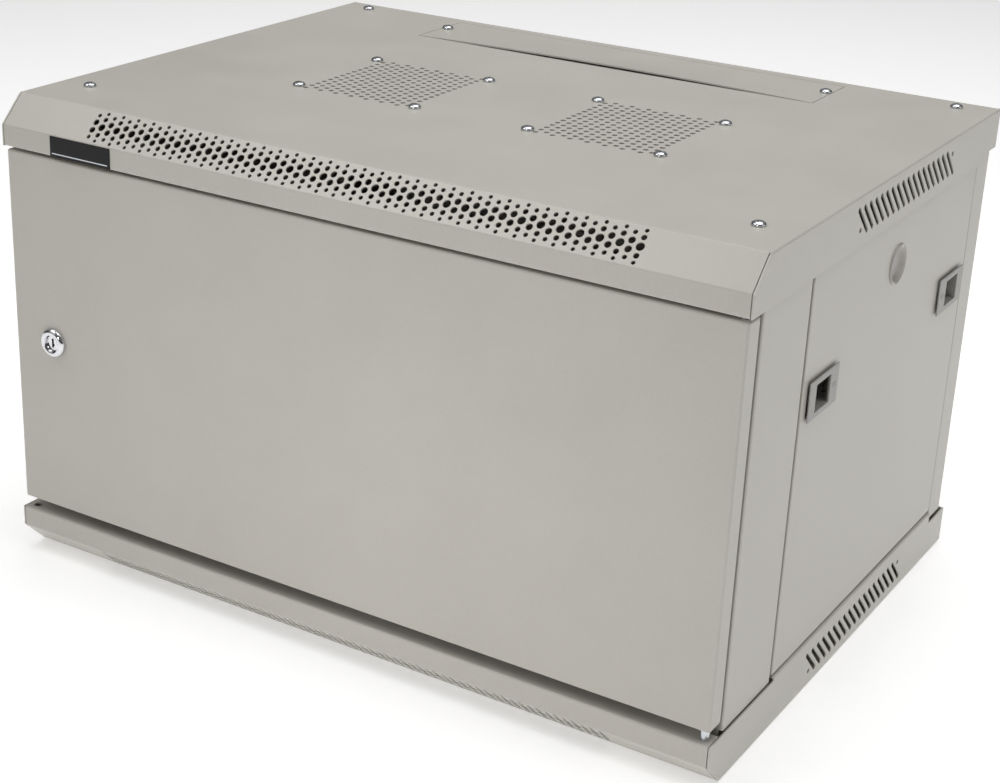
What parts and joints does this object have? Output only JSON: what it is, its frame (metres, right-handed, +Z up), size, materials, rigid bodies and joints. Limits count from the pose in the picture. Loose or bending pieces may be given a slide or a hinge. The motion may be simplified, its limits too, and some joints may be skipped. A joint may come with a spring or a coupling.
{
  "type": "wall mount network cabinet",
  "caption": "Wall mount network cabinet with hinged lockable front door, slide-latched side panels, perforated chamfered covers, nineteen inch rails and roof fans.",
  "frame": {"origin": "middle of the cabinet's footprint at the underside of the bottom tray", "axes": "+X to the right seen from the front, +Y back to the wall, +Z up"},
  "size_m": [0.6026, 0.4525, 0.3712],
  "materials": {
    "cabinet_paint": "fine satin powder coat, light warm grey",
    "zinc_steel": "bright zinc plate",
    "lock_chrome": "polished",
    "latch_plastic": "fine matte, mid grey",
    "guide_plastic": "matte",
    "fan_plastic": "matte black",
    "badge_black": "gloss black, bare"
  },
  "bodies": {
    "cabinet": {"top_cover": "cabinet_paint", "bottom_tray": "cabinet_paint", "front_left_post": "cabinet_paint", "front_right_post": "cabinet_paint", "rear_left_post": "cabinet_paint", "rear_right_post": "cabinet_paint", "back_panel": "cabinet_paint", "front_left_rail": "cabinet_paint", "front_right_rail": "cabinet_paint", "rear_left_rail": "cabinet_paint", "rear_right_rail": "cabinet_paint", "left_lower_bracket": "cabinet_paint", "left_upper_bracket": "cabinet_paint", "right_lower_bracket": "cabinet_paint", "right_upper_bracket": "cabinet_paint", "left_fan_frame": "fan_plastic", "right_fan_frame": "fan_plastic", "cable_entry_cover": "cabinet_paint", "top_corner_screws": "zinc_steel", "fan_screws": "zinc_steel", "cover_screws": "zinc_steel", "rail_screws": "zinc_steel", "earth_stud": "zinc_steel", "badge_plate": "badge_black"},
    "left_rotor": {"left_fan_rotor": "fan_plastic"},
    "right_rotor": {"right_fan_rotor": "fan_plastic"},
    "door": {"door_panel": "cabinet_paint", "door_stiffener": "cabinet_paint", "lower_hinge_pin": "zinc_steel", "hinge_pin_bracket": "cabinet_paint", "pin_spring": "zinc_steel", "lock_body": "lock_chrome", "lock_nut": "zinc_steel"},
    "key": {"lock_barrel": "lock_chrome", "lock_cam": "zinc_steel", "cam_screw": "zinc_steel"},
    "spring_pin": {"upper_hinge_pin": "zinc_steel"},
    "left_panel": {"left_side_panel": "cabinet_paint", "left_panel_plug": "latch_plastic", "left_front_latch_guide": "guide_plastic", "left_rear_latch_guide": "guide_plastic"},
    "left_front_slide": {"left_front_latch": "latch_plastic"},
    "left_rear_slide": {"left_rear_latch": "latch_plastic"},
    "right_panel": {"right_side_panel": "cabinet_paint", "right_panel_plug": "latch_plastic", "right_front_latch_guide": "guide_plastic", "right_rear_latch_guide": "guide_plastic"},
    "right_front_slide": {"right_front_latch": "latch_plastic"},
    "right_rear_slide": {"right_rear_latch": "latch_plastic"}
  },
  "joints": [
    {"name": "door_hinge", "type": "hinge", "parent": "cabinet", "child": "door", "pos_m": [0.292, -0.217, 0.187], "axis": [0, 0, 1], "range_deg": [0, 180]},
    {"name": "lock_turn", "type": "hinge", "parent": "door", "child": "key", "pos_m": [-0.26, -0.212, 0.1844], "axis": [0, 1, 0], "range_deg": [0, 90]},
    {"name": "hinge_pin_pull", "type": "slide", "parent": "door", "child": "spring_pin", "axis": [0, 0, -1], "range_m": [0, 0.006], "stiffness_N_per_m": 800, "springref_m": -0.004, "deforming": ["pin_spring"]},
    {"name": "left_fan_spin", "type": "hinge", "parent": "cabinet", "child": "left_rotor", "pos_m": [-0.1005, -0.006, 0.352], "axis": [0, 0, 1], "continuous": true},
    {"name": "right_fan_spin", "type": "hinge", "parent": "cabinet", "child": "right_rotor", "pos_m": [0.1005, -0.006, 0.352], "axis": [0, 0, 1], "continuous": true},
    {"name": "left_panel_tilt", "type": "hinge", "parent": "cabinet", "child": "left_panel", "pos_m": [-0.2985, 0.031, 0.0425], "axis": [0, -1, 0], "range_deg": [0, 30]},
    {"name": "left_front_latch_slide", "type": "slide", "parent": "left_panel", "child": "left_front_slide", "axis": [0, -1, 0], "range_m": [0, 0.008]},
    {"name": "left_rear_latch_slide", "type": "slide", "parent": "left_panel", "child": "left_rear_slide", "axis": [0, 1, 0], "range_m": [0, 0.008]},
    {"name": "right_panel_tilt", "type": "hinge", "parent": "cabinet", "child": "right_panel", "pos_m": [0.2985, 0.031, 0.0425], "axis": [0, 1, 0], "range_deg": [0, 30]},
    {"name": "right_front_latch_slide", "type": "slide", "parent": "right_panel", "child": "right_front_slide", "axis": [0, -1, 0], "range_m": [0, 0.008]},
    {"name": "right_rear_latch_slide", "type": "slide", "parent": "right_panel", "child": "right_rear_slide", "axis": [0, 1, 0], "range_m": [0, 0.008]}
  ]
}
